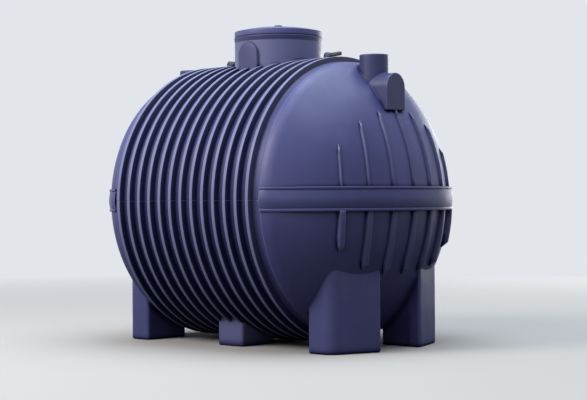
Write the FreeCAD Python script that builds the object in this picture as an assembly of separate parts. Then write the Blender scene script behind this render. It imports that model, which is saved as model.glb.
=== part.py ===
"""Horizontal ribbed drainage tank of moulded plastic, with a lift-off manhole lid.

Sizes are in millimetres. X runs along the tank and +X is its front end, +Z is up, and the origin is on
the ground below the middle of the tank. Left and right are those of a person who faces the front end,
so left is -Y. Heights are measured from the tank's axis until a piece is written out.
"""
import FreeCAD, Part
import math
import os

# Barrel: a cylinder with hoops moulded round it
barrel_radius = 860.0
wall = 12.0
hoop_count = 13
hoop_pitch = 94.3
hoop_height = 40.0
hoop_crest = 24.0
hoop_base = 46.0
shoulder = 46.0
ground_clearance = 20.0
seam_turn = 45.0

# Dished ends: a crown that a knuckle joins to the barrel
dome_depth = 475.0
knuckle_radius = 120.0

# Band round the middle of each end, a deeper dish that starts almost flush at the shoulder
band_above = 78.0
band_below = 66.0
band_proud = 48.0
band_lip = 8.0

# Upright ribs on each end, spread like meridians, whose far ends lie on a rounded outline
rib_turn = 9.7
rib_slope = 42.0
upper_rib_width = 26.0
upper_rib_proud = 16.0
upper_reach_turn = 36.0
upper_reach = 566.0
upper_roundness = 2.0
lower_rib_width = 46.0
lower_rib_proud = 17.0
lower_rib_spread = 150.0
lower_reach_turn = 33.0
lower_reach = 465.0
lower_roundness = 3.0

# Blank pipe connections on each end: an upright stub and an arched box with a flat face
stub_diameter = 180.0
stub_setback = 170.0
stub_rise = 36.0
box_width = 177.0
box_height = 230.0
box_drop = 315.0
box_overhang = 19.0

# Manhole neck
neck_radius = 285.0
neck_wall = 12.0
neck_seam = 0.3
neck_height = 158.0
neck_rim_height = 34.0
neck_rim_proud = 7.0
pad_width = 160.0
pad_proud = 10.0
pad_gap = 10.0

# Lid: a dished cover with a spigot that drops into the neck
lid_overhang = 1.0
lid_rim_height = 34.0
lid_crown_rise = 31.0
lid_wall = 10.0
lid_shadow_gap = 5.0
lid_seat_width = 11.0
spigot_depth = 30.0
spigot_clearance = 5.0
knob_radius = 27.0
knob_height = 15.0
knob_margin = 4.0
knob_chamfer = 5.0

# Feet, three to a side
foot_outer = 525.0
foot_inner = 187.0
foot_setback = 70.0
foot_drop = 418.0
foot_corner = 55.0
foot_edge = 22.0
middle_foot_length = 220.0
middle_foot_outer = 470.0
middle_foot_inner = 175.0
edge_search = 0.5

# Lifting points on top of the barrel
lug_place = 432.0
lug_width = 48.0
lug_length = 46.0
lug_rise = 38.0
eye_length = 85.0
eye_width = 44.0
eye_thickness = 20.0
eye_lift = 8.0
eye_tilt = 4.0
eye_hole_radius = 12.0

# Worked out from the sizes above
crest_radius = barrel_radius + hoop_height
inner_radius = barrel_radius - wall
axis_height = crest_radius + ground_clearance
barrel_half = (hoop_count - 1) / 2 * hoop_pitch + hoop_base / 2 + shoulder
neck_bore = neck_radius - neck_wall
neck_top = crest_radius + neck_height
rim_bottom = neck_top - neck_rim_height
stub_x = barrel_half + stub_setback
box_floor = barrel_radius - box_drop
lid_radius = neck_radius + lid_overhang

ORIGIN = FreeCAD.Vector(0, 0, 0)
ALONG = FreeCAD.Vector(1, 0, 0)
ACROSS = FreeCAD.Vector(0, 1, 0)
UP = FreeCAD.Vector(0, 0, 1)


def line(start, end):
    return Part.makeLine(start, end)


def arc(centre, radius, start, end, across, out):
    """Arc about a centre, from one angle to another, in the plane of two directions."""
    points = []
    for angle in (start, (start + end) / 2, end):
        points.append(centre + across * (radius * math.cos(angle)) + out * (radius * math.sin(angle)))
    return Part.Arc(*points).toShape()


def face(edges):
    return Part.Face(Part.Wire(Part.__sortEdges__(edges)))


def polygon(points):
    return Part.Face(Part.makePolygon(points + [points[0]]))


def block(low, high):
    """Box between two corners."""
    size = FreeCAD.Vector(*high) - FreeCAD.Vector(*low)
    return Part.makeBox(size.x, size.y, size.z, FreeCAD.Vector(*low))


def upright_column(radius, height):
    """Upright cylinder on the tank's middle, whose seam line lies clear of the hoops' own planes."""
    column = Part.makeCylinder(radius, height, ORIGIN, UP)
    column.rotate(ORIGIN, UP, seam_turn)
    return column


def rear(shape):
    """The same piece on the rear end."""
    turned = shape.copy()
    turned.rotate(ORIGIN, UP, 180)
    return turned


def other_side(shape):
    """The same piece on the other side."""
    return shape.mirror(ORIGIN, ACROSS)


def other_lug(shape):
    """The same piece on the rear lug, which points the same way."""
    moved = shape.copy()
    moved.translate(ALONG * (-2 * lug_place))
    return moved


def crown_of(depth, lip):
    """Radius of a dished end's crown and its centre's place along X, for a depth and a lip's radius."""
    reach = lip - knuckle_radius
    radius = (depth**2 + reach**2 - knuckle_radius**2) / (2 * (depth - knuckle_radius))
    return radius, barrel_half + depth - radius


crown_radius, crown_x = crown_of(dome_depth, barrel_radius)
band_radius, band_x = crown_of(dome_depth + band_proud, barrel_radius + band_lip)


def dome_x(y, z):
    """How far along X the crown's outside lies."""
    return crown_x + math.sqrt(crown_radius**2 - y**2 - z**2)


def dish_line(depth, lip, inset, out):
    """Outline of a dished end from its tip to the shoulder, set in from the outside."""
    radius, centre_x = crown_of(depth, lip)
    knuckle_centre = lip - knuckle_radius
    turn = math.atan2(knuckle_centre, barrel_half - centre_x)
    crown_middle = FreeCAD.Vector(centre_x, 0, 0)
    knuckle_middle = FreeCAD.Vector(barrel_half, 0, 0) + out * knuckle_centre
    crown = arc(crown_middle, radius - inset, 0, turn, ALONG, out)
    knuckle = arc(knuckle_middle, knuckle_radius - inset, turn, math.pi / 2, ALONG, out)
    return [crown, knuckle]


def dome_tip(inset):
    return FreeCAD.Vector(barrel_half + dome_depth - inset, 0, 0)


def dome_shell():
    lip_outer = FreeCAD.Vector(barrel_half, 0, barrel_radius)
    lip_inner = FreeCAD.Vector(barrel_half, 0, inner_radius)
    outline = dish_line(dome_depth, barrel_radius, 0, UP) + dish_line(dome_depth, barrel_radius, wall, UP)
    outline += [line(lip_outer, lip_inner), line(dome_tip(wall), dome_tip(0))]
    return face(outline).revolve(ORIGIN, ALONG, 360)


def dome_core():
    """The whole space inside the dished end's outer surface."""
    middle = FreeCAD.Vector(barrel_half, 0, 0)
    lip = FreeCAD.Vector(barrel_half, 0, barrel_radius)
    outline = dish_line(dome_depth, barrel_radius, 0, UP) + [line(lip, middle), line(middle, dome_tip(0))]
    return face(outline).revolve(ORIGIN, ALONG, 360)


def hoop_outline(inside):
    """Section of the hooped barrel wall, from an inner radius out."""
    points = [(-barrel_half, inside), (-barrel_half, barrel_radius)]
    for number in range(hoop_count):
        middle = (number - (hoop_count - 1) / 2) * hoop_pitch
        points.append((middle - hoop_base / 2, barrel_radius))
        points.append((middle - hoop_crest / 2, crest_radius))
        points.append((middle + hoop_crest / 2, crest_radius))
        points.append((middle + hoop_base / 2, barrel_radius))
    points += [(barrel_half, barrel_radius), (barrel_half, inside)]
    return polygon([FreeCAD.Vector(x, radius, 0) for x, radius in points])


def barrel_upper():
    manhole = upright_column(neck_radius + neck_seam, neck_top)
    return hoop_outline(inner_radius).revolve(ORIGIN, ALONG, 180).cut(manhole)


def barrel_lower():
    return hoop_outline(inner_radius).revolve(ORIGIN, ALONG, -180)


def barrel_core():
    """The whole space inside the barrel's outer surface."""
    return hoop_outline(0).revolve(ORIGIN, ALONG, 360)


def band(core):
    """Upright band that follows a deeper dish in plan, from shoulder to shoulder."""
    lip = barrel_radius + band_lip
    low = FreeCAD.Vector(0, 0, -band_below)
    outline = [line(FreeCAD.Vector(barrel_half, -lip, low.z), FreeCAD.Vector(barrel_half, lip, low.z))]
    for out in (ACROSS, -ACROSS):
        for edge in dish_line(dome_depth + band_proud, lip, 0, out):
            edge.translate(low)
            outline.append(edge)
    return face(outline).extrude(UP * (band_above + band_below)).cut(core)


def rib(core, turn, width, low, high, crest_x, crest_radius, sloped):
    """Upright rib in a plane turned about the crown's middle, with a sloped or a square far end.

    Its crest lies on a ball about a place on the tank's axis, and a sloped end is carried on under the
    crown's surface. A rib below the band has negative heights.
    """
    side = math.copysign(1, high)
    offset = crest_x - crown_x
    middle = FreeCAD.Vector(crown_x + offset * math.cos(math.radians(turn)), 0, 0)
    span = math.sqrt(crest_radius**2 - (offset * math.sin(math.radians(turn))) ** 2)
    crest_end = high - side * rib_slope if sloped else high
    start_angle = math.asin(low / span)
    end_angle = math.asin(crest_end / span)
    crest_corner = FreeCAD.Vector(middle.x + span * math.cos(end_angle), 0, crest_end)
    low_corner = FreeCAD.Vector(middle.x + span * math.cos(start_angle), 0, low)
    far_corner = FreeCAD.Vector(dome_x(0, high), 0, high)
    root = far_corner * 2 - crest_corner if sloped else far_corner - ALONG * rib_slope
    corners = [crest_corner, root, FreeCAD.Vector(root.x, 0, low), low_corner]
    edges = [line(one, two) for one, two in zip(corners, corners[1:])]
    edges.append(arc(middle, span, start_angle, end_angle, ALONG, UP))
    solid = face(edges).extrude(ACROSS * width)
    solid.translate(ACROSS * (-width / 2))
    solid.rotate(FreeCAD.Vector(crown_x, 0, 0), UP, turn)
    return solid.cut(core)


def rib_places(reach_turn, reach, roundness):
    """Each rib's turn about the crown's middle, and how far from the axis its end lies."""
    places = []
    turn = 0.0
    while turn < reach_turn:
        share = 1 - (turn / reach_turn) ** roundness
        places.append((turn, reach * share ** (1 / roundness)))
        turn += rib_turn
    return places


def upper_ribs(core):
    """Ribs over the band; the middle one runs up to the pipe box."""
    crest_radius = crown_radius + upper_rib_proud
    solids = []
    for turn, reach in rib_places(upper_reach_turn, upper_reach, upper_roundness):
        top = reach if turn else box_floor
        one = rib(core, turn, upper_rib_width, band_above, top, crown_x, crest_radius, turn > 0)
        solids.append(one)
        if turn:
            solids.append(other_side(one))
    return Part.makeCompound(solids)


def lower_ribs(core):
    """Ribs under the band, which stand out more towards the sides and the bottom."""
    crest_x = crown_x - lower_rib_spread
    crest_radius = crown_radius + lower_rib_spread + lower_rib_proud
    solids = []
    for turn, reach in rib_places(lower_reach_turn, lower_reach, lower_roundness):
        one = rib(core, turn, lower_rib_width, -band_below, -reach, crest_x, crest_radius, True)
        solids.append(one)
        if turn:
            solids.append(other_side(one))
    return Part.makeCompound(solids)


def vent_stub(core):
    top = barrel_radius + stub_rise
    solid = Part.makeCylinder(stub_diameter / 2, top, FreeCAD.Vector(stub_x, 0, 0), UP)
    return solid.cut(core)


def pipe_box(core, stub):
    """Arched box with a flat face for a pipe, standing out of the crown in front of the stub."""
    arch_radius = box_width / 2
    face_x = dome_x(0, box_floor) + box_overhang
    spring = box_floor + box_height - arch_radius
    left_low = FreeCAD.Vector(stub_x, -arch_radius, box_floor)
    left_high = FreeCAD.Vector(stub_x, -arch_radius, spring)
    right_low = FreeCAD.Vector(stub_x, arch_radius, box_floor)
    right_high = FreeCAD.Vector(stub_x, arch_radius, spring)
    arch = arc(FreeCAD.Vector(stub_x, 0, spring), arch_radius, 0, math.pi, ACROSS, UP)
    outline = [arch, line(left_high, left_low), line(left_low, right_low), line(right_low, right_high)]
    solid = face(outline).extrude(ALONG * (face_x - stub_x))
    return solid.cut(stub).cut(core)


def neck():
    """Manhole neck, cut to the barrel's round at its foot."""
    outer = upright_column(neck_radius, rim_bottom)
    bore = upright_column(neck_bore, rim_bottom)
    inside = Part.makeCylinder(inner_radius, 2 * barrel_half, FreeCAD.Vector(-barrel_half, 0, 0), ALONG)
    return outer.cut(bore).cut(inside)


def neck_rim():
    base = FreeCAD.Vector(0, 0, rim_bottom)
    outer = Part.makeCylinder(neck_radius + neck_rim_proud, neck_rim_height, base, UP)
    bore = Part.makeCylinder(neck_bore, neck_rim_height, base, UP)
    return outer.cut(bore)


def neck_pad(core):
    """Flat arched pad on the left of the neck."""
    half = pad_width / 2
    front = -(neck_radius + pad_proud)
    spring = rim_bottom - pad_gap - half
    base = math.sqrt(inner_radius**2 - front**2)
    arch = arc(FreeCAD.Vector(0, front, spring), half, 0, math.pi, ALONG, UP)
    right_high = FreeCAD.Vector(half, front, spring)
    right_low = FreeCAD.Vector(half, front, base)
    left_low = FreeCAD.Vector(-half, front, base)
    left_high = FreeCAD.Vector(-half, front, spring)
    outline = [arch, line(left_high, left_low), line(left_low, right_low), line(right_low, right_high)]
    solid = face(outline).extrude(ACROSS * neck_radius)
    return solid.cut(core).cut(upright_column(neck_radius, neck_top))


def lid():
    """Domed lid with a flat middle, which rests on the neck's rim by a narrow seat round its spigot."""
    spigot_outer = neck_bore - spigot_clearance
    spigot_inner = spigot_outer - lid_wall
    seat_outer = neck_bore + lid_seat_width
    rim_low = neck_top + lid_shadow_gap
    rim_high = rim_low + lid_rim_height
    crown = rim_high + lid_crown_rise
    underside = rim_high - lid_wall
    flat = knob_radius + knob_margin
    corners = [
        (lid_radius, rim_high),
        (lid_radius, rim_low),
        (seat_outer, rim_low),
        (seat_outer, neck_top),
        (spigot_outer, neck_top),
        (spigot_outer, neck_top - spigot_depth),
        (spigot_inner, neck_top - spigot_depth),
        (spigot_inner, underside),
        (0, underside),
        (0, crown),
        (flat, crown),
    ]
    points = [FreeCAD.Vector(radius, 0, height) for radius, height in corners]
    edges = [line(one, two) for one, two in zip(points, points[1:])]
    reach = lid_radius - flat
    round_radius = (reach**2 + lid_crown_rise**2) / (2 * lid_crown_rise)
    centre = FreeCAD.Vector(flat, 0, crown - round_radius)
    turn = math.asin(reach / round_radius)
    edges.append(arc(centre, round_radius, math.pi / 2 - turn, math.pi / 2, ALONG, UP))
    return face(edges).revolve(ORIGIN, UP, 360)


def lid_knob():
    base = neck_top + lid_shadow_gap + lid_rim_height + lid_crown_rise
    solid = Part.makeCylinder(knob_radius, knob_height, FreeCAD.Vector(0, 0, base), UP)
    upper_edge = [edge for edge in solid.Edges if edge.BoundBox.ZMin > base + knob_height / 2]
    return solid.makeChamfer(knob_chamfer, upper_edge)


def upright_edges(solid, x, y):
    """Upright edges of a prism at a place in plan."""
    found = []
    for edge in solid.Edges:
        box = edge.BoundBox
        upright = box.ZLength > max(box.XLength, box.YLength)
        if upright and abs(box.Center.x - x) < edge_search and abs(box.Center.y - y) < edge_search:
            found.append(edge)
    return found


def end_foot(core):
    """Front foot on the right, whose flat front joins two places on the crown's outline."""
    back = barrel_half + foot_setback
    panel_end = foot_outer - foot_corner
    inner_x = dome_x(foot_inner, foot_drop)
    panel_slope = (dome_x(panel_end, foot_drop) - inner_x) / (panel_end - foot_inner)
    outer_x = inner_x + panel_slope * (foot_outer - foot_inner)
    corners = [(inner_x, foot_inner), (outer_x, foot_outer), (back, foot_outer), (back, foot_inner)]
    outline = polygon([FreeCAD.Vector(x, y, -axis_height) for x, y in corners])
    solid = outline.extrude(UP * axis_height)
    solid = solid.makeFillet(foot_corner, upright_edges(solid, outer_x, foot_outer))
    solid = solid.makeFillet(foot_edge, upright_edges(solid, inner_x, foot_inner))
    return solid.cut(core)


def middle_foot(core):
    """Middle foot on the right, cut to the hoops above it."""
    half = middle_foot_length / 2
    solid = block((-half, middle_foot_inner, -axis_height), (half, middle_foot_outer, 0))
    for x in (-half, half):
        solid = solid.makeFillet(foot_edge, upright_edges(solid, x, middle_foot_outer))
    return solid.cut(core)


def lifting_lug():
    """Rounded lug moulded on the hoops."""
    radius = lug_width / 2
    spring = crest_radius + lug_rise - radius
    start = FreeCAD.Vector(lug_place, -lug_length / 2, 0)
    low = ALONG * radius + UP * inner_radius
    high = ALONG * radius + UP * spring
    arch = arc(start + UP * spring, radius, 0, math.pi, ALONG, UP)
    left_high = start - ALONG * radius + UP * spring
    left_low = start - ALONG * radius + UP * inner_radius
    outline = [arch, line(left_high, left_low), line(left_low, start + low), line(start + low, start + high)]
    return face(outline).extrude(ACROSS * lug_length)


def lifting_eye(lug):
    """Flat plate with a hole that reaches out of the lug and a little upward."""
    root = FreeCAD.Vector(lug_place, 0, crest_radius + eye_lift)
    length = lug_width / 2 + eye_length
    end_radius = eye_width / 2
    plate = block((0, -end_radius, 0), (length - end_radius, end_radius, eye_thickness))
    hole_place = FreeCAD.Vector(length - end_radius, 0, 0)
    plate = plate.fuse(Part.makeCylinder(end_radius, eye_thickness, hole_place, UP)).removeSplitter()
    plate = plate.cut(Part.makeCylinder(eye_hole_radius, eye_thickness, hole_place, UP))
    plate.rotate(ORIGIN, ACROSS, -eye_tilt)
    plate.translate(root)
    return plate.cut(lug)


def write(name, shape):
    placed = shape.copy()
    placed.translate(UP * axis_height)
    placed.exportStep("parts/" + name + ".step")


def main():
    os.makedirs("parts", exist_ok=True)
    tank = barrel_core()
    end = dome_core()

    write("barrel_upper", barrel_upper())
    write("barrel_lower", barrel_lower())

    foot = end_foot(end)
    stub = vent_stub(end)
    front_pieces = {
        "dome": dome_shell(),
        "band": band(end),
        "upper_ribs": upper_ribs(end),
        "lower_ribs": lower_ribs(end),
        "vent_stub": stub,
        "pipe_box": pipe_box(end, stub),
    }
    for name, shape in front_pieces.items():
        write("front_" + name, shape)
        write("rear_" + name, rear(shape))

    lug = lifting_lug()
    eye = lifting_eye(lug)
    write("front_lifting_lug", lug.cut(tank))
    write("front_lifting_eye", eye.cut(tank))
    write("rear_lifting_lug", other_lug(lug).cut(tank))
    write("rear_lifting_eye", other_lug(eye).cut(tank))

    middle = middle_foot(tank)
    write("front_right_foot", foot)
    write("front_left_foot", other_side(foot))
    write("middle_right_foot", middle)
    write("middle_left_foot", other_side(middle))
    write("rear_left_foot", rear(foot))
    write("rear_right_foot", other_side(rear(foot)))

    pad = neck_pad(tank)
    write("neck", neck())
    write("neck_rim", neck_rim())
    write("neck_left_pad", pad)
    write("neck_right_pad", other_side(pad))

    write("lid", lid())
    write("lid_knob", lid_knob())


main()
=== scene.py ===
"""Looks of the horizontal plastic tank: moulded forms, materials, light and camera, on the shared frame."""
import bpy
import math
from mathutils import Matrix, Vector


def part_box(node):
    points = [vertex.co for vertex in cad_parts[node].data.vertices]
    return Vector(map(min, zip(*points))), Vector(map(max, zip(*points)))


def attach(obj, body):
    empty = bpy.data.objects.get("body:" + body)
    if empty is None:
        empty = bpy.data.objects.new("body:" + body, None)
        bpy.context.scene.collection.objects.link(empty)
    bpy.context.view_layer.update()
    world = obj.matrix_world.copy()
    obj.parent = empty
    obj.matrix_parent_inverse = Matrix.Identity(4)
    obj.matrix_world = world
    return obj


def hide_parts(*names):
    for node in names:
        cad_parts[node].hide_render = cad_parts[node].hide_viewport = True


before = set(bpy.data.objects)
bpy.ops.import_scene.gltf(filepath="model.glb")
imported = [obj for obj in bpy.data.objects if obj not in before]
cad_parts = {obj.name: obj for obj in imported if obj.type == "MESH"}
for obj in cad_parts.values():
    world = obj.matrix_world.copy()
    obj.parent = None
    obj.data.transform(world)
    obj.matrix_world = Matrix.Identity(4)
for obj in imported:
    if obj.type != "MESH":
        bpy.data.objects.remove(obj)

bl_info = {
    "name": "Plastic tank",
    "version": (1, 0, 0),
    "blender": (4, 5, 0),
    "location": "View3D > Sidebar > Tank",
    "description": "Builds the moulded forms of a horizontal plastic tank and the stage around it",
    "category": "Add Mesh",
}

FULL_TURN = 2 * math.pi
ALONG = Vector((1, 0, 0))
ACROSS = Vector((0, 1, 0))
UP = Vector((0, 0, 1))
ORIGIN = Vector((0, 0, 0))

# Lengths are in metres and creases in degrees.
ROUND_STEPS = 96
CREASE = 35
SHARP = 50
TOUCH = 1e-4
SPECK = 0.0003
FOOT_SOLE = 0.008

FLOOR_FADE = 2.2
FLOOR_REACH = 9.0
FLOOR_BOUNCE = 0.16
AMBIENT = (0.2, 0.21, 0.24)
DAYLIGHT = (1.0, 0.98, 0.96)
SKYLIGHT = (0.76, 0.89, 1.0)
WHITE = (1.0, 1.0, 1.0)
LIGHT_AIM = Vector((0, 0, 0.9))
CAMERA_PLACE = (6.672, -7.2215, 0.92)
CAMERA_HEADING = math.atan2(0.6717, 0.7408)
CAMERA_ROLL = math.radians(0.4)
CAMERA_LENS = 92.0
CAMERA_SENSOR = 36.0


class TankShape(bpy.types.PropertyGroup):
    """Sizes of the moulded tank that the frame's boxes don't give."""

    hoop_count: bpy.props.IntProperty(name="Hoops", description="Hoops round the barrel", default=13)
    hoop_pitch: bpy.props.FloatProperty(
        name="Hoop pitch", description="Distance from hoop to hoop", default=0.0943, unit="LENGTH"
    )
    hoop_crest: bpy.props.FloatProperty(
        name="Hoop crest", description="Width of a hoop's crest", default=0.024, unit="LENGTH"
    )
    hoop_base: bpy.props.FloatProperty(
        name="Hoop base", description="Width of a hoop at the barrel", default=0.046, unit="LENGTH"
    )
    hoop_fillet: bpy.props.FloatProperty(
        name="Hoop fillet", description="Radius where a hoop meets the barrel", default=0.016, unit="LENGTH"
    )
    hoop_round: bpy.props.FloatProperty(
        name="Hoop round", description="Radius of a crest's two edges", default=0.005, unit="LENGTH"
    )
    wall: bpy.props.FloatProperty(
        name="Wall", description="Thickness of the moulded wall", default=0.012, unit="LENGTH"
    )
    parting_reach: bpy.props.FloatProperty(
        name="Parting line", description="Half width of the parting line", default=0.003, unit="LENGTH"
    )
    parting_depth: bpy.props.FloatProperty(
        name="Parting depth", description="Depth of the parting line", default=0.0015, unit="LENGTH"
    )
    knuckle: bpy.props.FloatProperty(
        name="Knuckle", description="Radius from crown to barrel", default=0.12, unit="LENGTH"
    )
    band_rise: bpy.props.FloatProperty(
        name="Band rise", description="How far a band stands out at its ends", default=0.012, unit="LENGTH"
    )
    sink: bpy.props.FloatProperty(
        name="Sink", description="How far a piece's root lies under the wall", default=0.004, unit="LENGTH"
    )


class TankRibs(bpy.types.PropertyGroup):
    """Ribs and feet on the dished ends."""

    turn: bpy.props.FloatProperty(
        name="Turn", description="Angle from rib to rib", default=math.radians(9.7), subtype="ANGLE"
    )
    slope: bpy.props.FloatProperty(
        name="Slope", description="Height of a rib's sloped end", default=0.042, unit="LENGTH"
    )
    upper_width: bpy.props.FloatProperty(
        name="Upper width", description="Width of the ribs over the band", default=0.026, unit="LENGTH"
    )
    upper_proud: bpy.props.FloatProperty(
        name="Upper height", description="How far they stand out", default=0.016, unit="LENGTH"
    )
    upper_reach: bpy.props.FloatProperty(
        name="Upper reach", description="Height of the middle one's end", default=0.566, unit="LENGTH"
    )
    upper_reach_turn: bpy.props.FloatProperty(
        name="Upper spread", description="Turn where they end", default=math.radians(36), subtype="ANGLE"
    )
    upper_roundness: bpy.props.FloatProperty(
        name="Upper roundness", description="Power of the outline of their ends", default=2.0
    )
    lower_width: bpy.props.FloatProperty(
        name="Lower width", description="Width of the ribs under the band", default=0.046, unit="LENGTH"
    )
    lower_proud: bpy.props.FloatProperty(
        name="Lower height", description="How far the middle one stands out", default=0.017, unit="LENGTH"
    )
    lower_spread: bpy.props.FloatProperty(
        name="Lower flatness", description="Setback of their crests' centre", default=0.15, unit="LENGTH"
    )
    lower_reach: bpy.props.FloatProperty(
        name="Lower reach", description="Depth of the middle one's end", default=0.465, unit="LENGTH"
    )
    lower_reach_turn: bpy.props.FloatProperty(
        name="Lower spread", description="Turn where they end", default=math.radians(33), subtype="ANGLE"
    )
    lower_roundness: bpy.props.FloatProperty(
        name="Lower roundness", description="Power of the outline of their ends", default=3.0
    )
    foot_inner: bpy.props.FloatProperty(
        name="Foot inner", description="Inner side of an end foot", default=0.187, unit="LENGTH"
    )
    foot_outer: bpy.props.FloatProperty(
        name="Foot outer", description="Outer side of an end foot", default=0.525, unit="LENGTH"
    )
    foot_setback: bpy.props.FloatProperty(
        name="Foot setback", description="From the barrel's end to the foot", default=0.07, unit="LENGTH"
    )
    foot_drop: bpy.props.FloatProperty(
        name="Foot drop", description="Depth where its front leaves the crown", default=0.418, unit="LENGTH"
    )
    foot_corner: bpy.props.FloatProperty(
        name="Foot corner", description="Radius of its outer corner", default=0.055, unit="LENGTH"
    )
    foot_edge: bpy.props.FloatProperty(
        name="Foot edge", description="Radius of its other edges", default=0.022, unit="LENGTH"
    )


class TankFinish(bpy.types.PropertyGroup):
    """Colours of the plastic, the steel and the stage."""

    plastic: bpy.props.FloatVectorProperty(
        name="Plastic", description="Dark indigo", default=(0.064, 0.066, 0.2), subtype="COLOR"
    )
    faded: bpy.props.FloatVectorProperty(
        name="Faded", description="Chalked plastic", default=(0.084, 0.088, 0.236), subtype="COLOR"
    )
    # Pale lavender, used as rubbed wear on edges and as painted highlight on the hoops' crests; the parting
    # line is paler with it too.
    worn: bpy.props.FloatVectorProperty(
        name="Wear and highlight", description="Rubbed edges and painted highlights", default=(0.255, 0.262, 0.47), subtype="COLOR"
    )
    # Near-black blue painted as shade into corners, creases and the hoops' flanks.
    painted_shade: bpy.props.FloatVectorProperty(
        name="Painted shade", description="Painted shade in hollows and on flanks", default=(0.007, 0.009, 0.045), subtype="COLOR"
    )
    steel: bpy.props.FloatVectorProperty(
        name="Steel", description="Dull galvanised steel", default=(0.13, 0.135, 0.125), subtype="COLOR"
    )
    floor: bpy.props.FloatVectorProperty(
        name="Floor", description="Plain pale floor", default=(0.55, 0.52, 0.49), subtype="COLOR"
    )
    background: bpy.props.FloatVectorProperty(
        name="Background", description="Plain pale backdrop", default=(0.76, 0.79, 0.83), subtype="COLOR"
    )


def pick(piece):
    """Make a piece the only one selected."""
    bpy.ops.object.select_all(action="DESELECT")
    piece.select_set(True)
    bpy.context.view_layer.objects.active = piece


def take(name):
    """Name the piece that was just added and put its place into its mesh."""
    bpy.ops.object.transform_apply(location=True, rotation=True, scale=True)
    piece = bpy.context.object
    piece.name = name
    piece.data.name = name
    return piece


def edit():
    bpy.ops.object.mode_set(mode="EDIT")
    bpy.ops.mesh.select_all(action="SELECT")


def leave():
    bpy.ops.object.mode_set(mode="OBJECT")


def chain(name, points):
    """A line of edges from place to place, drawn by extruding one vertex; edit mode stays on."""
    bpy.ops.object.select_all(action="DESELECT")
    bpy.ops.mesh.primitive_plane_add(size=0.01, location=points[0])
    piece = take(name)
    edit()
    bpy.ops.mesh.merge(type="CENTER")
    for start, end in zip(points, points[1:]):
        bpy.ops.mesh.extrude_vertices_move(TRANSFORM_OT_translate={"value": end - start})
    bpy.ops.mesh.select_all(action="SELECT")
    bpy.ops.mesh.remove_doubles(threshold=1e-6)
    return piece


def close_up():
    """Join doubled points, close open ends and turn every face outward; object mode comes back."""
    bpy.ops.mesh.select_all(action="SELECT")
    bpy.ops.mesh.remove_doubles(threshold=1e-5)
    bpy.ops.mesh.fill_holes(sides=0)
    bpy.ops.mesh.select_all(action="SELECT")
    bpy.ops.mesh.normals_make_consistent(inside=False)
    leave()


def spun(name, points, steps, centre, axis):
    """A closed form that a line sweeps as it turns right round an axis."""
    piece = chain(name, points)
    bpy.ops.mesh.spin(steps=steps, angle=FULL_TURN, center=centre, axis=axis)
    close_up()
    return piece


def prism(name, points, reach):
    """A flat outline drawn out along a direction."""
    piece = chain(name, points + [points[0]])
    bpy.ops.mesh.edge_face_add()
    bpy.ops.mesh.extrude_region_move(TRANSFORM_OT_translate={"value": reach})
    close_up()
    return piece


def bar(name, radius, length, place, sides, lying=False):
    """A round bar, upright or lying along the tank."""
    bpy.ops.object.select_all(action="DESELECT")
    turn = (0, math.pi / 2, 0) if lying else (0, 0, 0)
    bpy.ops.mesh.primitive_cylinder_add(
        vertices=sides, radius=radius, depth=length, location=place, rotation=turn
    )
    return take(name)


def block(name, low, high):
    """A block between two corners."""
    bpy.ops.object.select_all(action="DESELECT")
    bpy.ops.mesh.primitive_cube_add(size=1, location=(low + high) / 2, scale=high - low)
    return take(name)


def upright(outline):
    """Places in the upright plane along the tank, from distances out and heights."""
    return [Vector((out, 0, height)) for out, height in outline]


def arch(half, foot, spring, steps, place):
    """Outline of a round arch on straight legs; place makes a point of a distance across and a height."""
    points = [place(-half, foot), place(half, foot)]
    for step in range(steps + 1):
        angle = math.pi * step / steps
        points.append(place(half * math.cos(angle), spring + half * math.sin(angle)))
    return points


def choose_edges(piece, test):
    """Select in edit mode the edges whose two ends pass a test."""
    bpy.ops.mesh.select_all(action="DESELECT")
    leave()
    places = [vertex.co for vertex in piece.data.vertices]
    for one in piece.data.edges:
        one.select = test(places[one.vertices[0]], places[one.vertices[1]])
    bpy.ops.object.mode_set(mode="EDIT")


def on_ground(one, two):
    return max(one.z, two.z) < TOUCH


def bevel_edges(piece, test, width, segments):
    """Round the edges that pass a test."""
    pick(piece)
    edit()
    bpy.ops.mesh.select_mode(type="EDGE")
    choose_edges(piece, test)
    bpy.ops.mesh.bevel(offset=width, segments=segments, profile=0.5, affect="EDGES")
    bpy.ops.mesh.select_mode(type="VERT")
    leave()


def apply_modifier(piece, kind, **settings):
    """Add a modifier, set it and apply it."""
    pick(piece)
    modifier = piece.modifiers.new(kind.lower(), kind)
    for key, value in settings.items():
        setattr(modifier, key, value)
    bpy.ops.object.modifier_apply(modifier=modifier.name)


def soften(piece, width, segments, crease):
    """Round every edge that is sharper than an angle in degrees."""
    limit = math.radians(crease)
    apply_modifier(
        piece, "BEVEL", width=width, segments=segments, limit_method="ANGLE", angle_limit=limit
    )


def drop(piece):
    """Delete a piece that was only a tool."""
    pick(piece)
    bpy.ops.object.delete()


def trim(piece, tool, operation="DIFFERENCE"):
    """Cut a piece with a tool, or keep what they share or cover together."""
    apply_modifier(piece, "BOOLEAN", object=tool, operation=operation, solver="EXACT")


def slice_off(place, normal):
    """Cut away what the active piece has beyond a plane."""
    edit()
    bpy.ops.mesh.bisect(plane_co=place, plane_no=normal, use_fill=True, clear_outer=True)
    close_up()


def clean(piece):
    """Merge the specks that a cut leaves behind and close the form again."""
    pick(piece)
    edit()
    bpy.ops.mesh.remove_doubles(threshold=SPECK)
    bpy.ops.mesh.quads_convert_to_tris(quad_method="BEAUTY", ngon_method="BEAUTY")
    bpy.ops.mesh.dissolve_degenerate(threshold=SPECK)
    close_up()


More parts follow.
